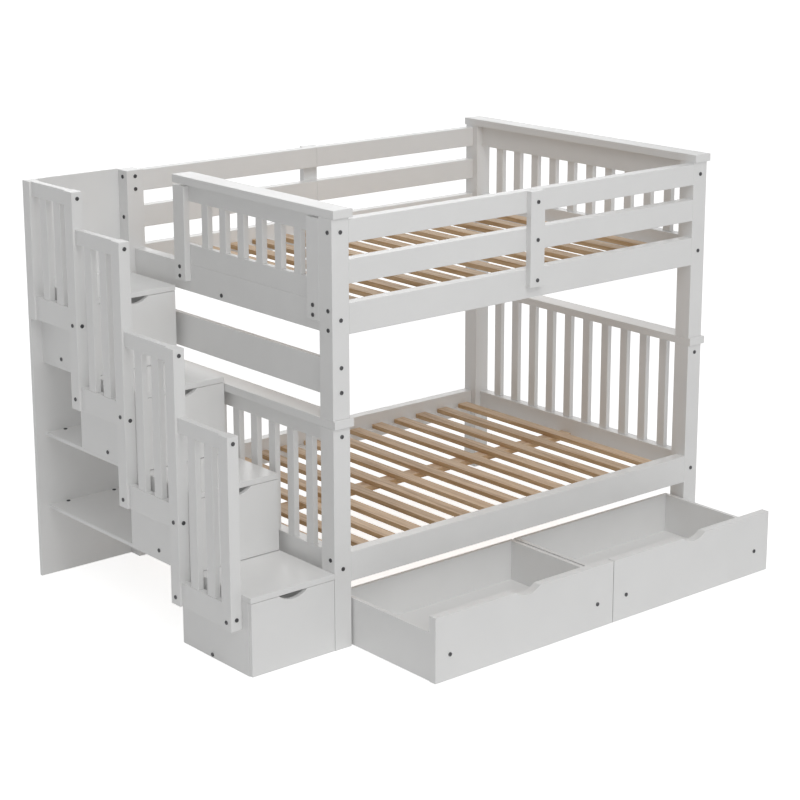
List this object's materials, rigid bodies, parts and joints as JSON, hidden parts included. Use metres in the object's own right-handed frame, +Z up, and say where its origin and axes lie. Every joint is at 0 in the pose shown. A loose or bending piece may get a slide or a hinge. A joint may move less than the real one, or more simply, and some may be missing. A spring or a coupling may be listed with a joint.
{
  "type": "bunk bed with storage stairs",
  "caption": "Bunk bed of posts and rails with slatted bases, guard rails, storage stairs with drawers and a slatted guard, and rolling drawers under the lower bed.",
  "frame": {"origin": "middle of the front left post's foot, on the floor", "axes": "+X along the bed towards the end without stairs, +Y towards the wall side, +Z up"},
  "size_m": [2.4875, 1.974, 1.72],
  "materials": {
    "white_paint": "satin white paint over wood",
    "stair_paint": "satin white paint over board",
    "drawer_board": "white faced board",
    "pine": "bare planed pine",
    "dark_steel": "blackened steel",
    "roller": "matte"
  },
  "bodies": {
    "bed": {"bolts": "dark_steel", "cap_left_middle": "white_paint", "cap_left_top": "white_paint", "cap_right_middle": "white_paint", "cap_right_top": "white_paint", "centre_beams": "pine", "deck_slats_lower": "pine", "deck_slats_upper": "pine", "end_rails_lower": "white_paint", "end_rails_upper": "white_paint", "entry_panel_rails": "white_paint", "entry_panel_slats": "white_paint", "entry_panel_stiles": "white_paint", "gap_board": "white_paint", "guard_battens": "white_paint", "guard_rails_front": "white_paint", "guard_rails_rear": "white_paint", "headboard_slats_left_lower": "white_paint", "headboard_slats_right_lower": "white_paint", "headboard_slats_right_upper": "white_paint", "headboard_top_rails": "white_paint", "post_front_left_lower": "white_paint", "post_front_left_upper": "white_paint", "post_front_right_lower": "white_paint", "post_front_right_upper": "white_paint", "post_rear_left_lower": "white_paint", "post_rear_left_upper": "white_paint", "post_rear_right_lower": "white_paint", "post_rear_right_upper": "white_paint", "side_rail_front_lower": "white_paint", "side_rail_front_upper": "white_paint", "side_rail_rear_lower": "white_paint", "side_rail_rear_upper": "white_paint", "slat_ledges": "white_paint", "stair_back_panel": "stair_paint", "stair_guard_posts": "stair_paint", "stair_guard_rails": "stair_paint", "stair_guard_slats": "stair_paint", "stair_module_backs": "stair_paint", "stair_shelves": "stair_paint", "stair_sides": "stair_paint", "stair_treads": "stair_paint"},
    "stair_drawer_1": {"stair_drawer_1_box": "drawer_board", "stair_drawer_1_front": "stair_paint"},
    "stair_drawer_2": {"stair_drawer_2_box": "drawer_board", "stair_drawer_2_front": "stair_paint"},
    "stair_drawer_3": {"stair_drawer_3_box": "drawer_board", "stair_drawer_3_front": "stair_paint"},
    "stair_drawer_4": {"stair_drawer_4_box": "drawer_board", "stair_drawer_4_front": "stair_paint"},
    "underbed_drawer_1": {"underbed_drawer_1_box": "drawer_board", "underbed_drawer_1_fixings": "dark_steel", "underbed_drawer_1_front": "white_paint"},
    "underbed_drawer_1_wheels_front": {"underbed_drawer_1_wheels_front": "roller"},
    "underbed_drawer_1_wheels_rear": {"underbed_drawer_1_wheels_rear": "roller"},
    "underbed_drawer_2": {"underbed_drawer_2_box": "drawer_board", "underbed_drawer_2_fixings": "dark_steel", "underbed_drawer_2_front": "white_paint"},
    "underbed_drawer_2_wheels_front": {"underbed_drawer_2_wheels_front": "roller"},
    "underbed_drawer_2_wheels_rear": {"underbed_drawer_2_wheels_rear": "roller"}
  },
  "joints": [
    {"name": "stair_drawer_1_slide", "type": "slide", "parent": "bed", "child": "stair_drawer_1", "axis": [0, -1, 0], "range_m": [0, 0.3]},
    {"name": "stair_drawer_2_slide", "type": "slide", "parent": "bed", "child": "stair_drawer_2", "axis": [0, -1, 0], "range_m": [0, 0.3]},
    {"name": "stair_drawer_3_slide", "type": "slide", "parent": "bed", "child": "stair_drawer_3", "axis": [0, -1, 0], "range_m": [0, 0.3]},
    {"name": "stair_drawer_4_slide", "type": "slide", "parent": "bed", "child": "stair_drawer_4", "axis": [0, -1, 0], "range_m": [0, 0.3]},
    {"name": "underbed_drawer_1_slide", "type": "slide", "parent": "bed", "child": "underbed_drawer_1", "axis": [0, -1, 0], "range_m": [-0.488, 0.08]},
    {"name": "underbed_drawer_1_roll_front", "type": "hinge", "parent": "underbed_drawer_1", "child": "underbed_drawer_1_wheels_front", "pos_m": [0.509, -0.422, 0.01], "axis": [1, 0, 0], "range_deg": [-2800, 460]},
    {"name": "underbed_drawer_1_roll_rear", "type": "hinge", "parent": "underbed_drawer_1", "child": "underbed_drawer_1_wheels_rear", "pos_m": [0.509, -0.012, 0.01], "axis": [1, 0, 0], "range_deg": [-2800, 460]},
    {"name": "underbed_drawer_2_slide", "type": "slide", "parent": "bed", "child": "underbed_drawer_2", "axis": [0, -1, 0], "range_m": [-0.488, 0.08]},
    {"name": "underbed_drawer_2_roll_front", "type": "hinge", "parent": "underbed_drawer_2", "child": "underbed_drawer_2_wheels_front", "pos_m": [1.441, -0.422, 0.01], "axis": [1, 0, 0], "range_deg": [-2800, 460]},
    {"name": "underbed_drawer_2_roll_rear", "type": "hinge", "parent": "underbed_drawer_2", "child": "underbed_drawer_2_wheels_rear", "pos_m": [1.441, -0.012, 0.01], "axis": [1, 0, 0], "range_deg": [-2800, 460]}
  ],
  "couplings": [
    {"joint": "underbed_drawer_1_roll_front", "follows": "underbed_drawer_1_slide", "rad_per_m": 100},
    {"joint": "underbed_drawer_1_roll_rear", "follows": "underbed_drawer_1_slide", "rad_per_m": 100},
    {"joint": "underbed_drawer_2_roll_front", "follows": "underbed_drawer_2_slide", "rad_per_m": 100},
    {"joint": "underbed_drawer_2_roll_rear", "follows": "underbed_drawer_2_slide", "rad_per_m": 100}
  ]
}
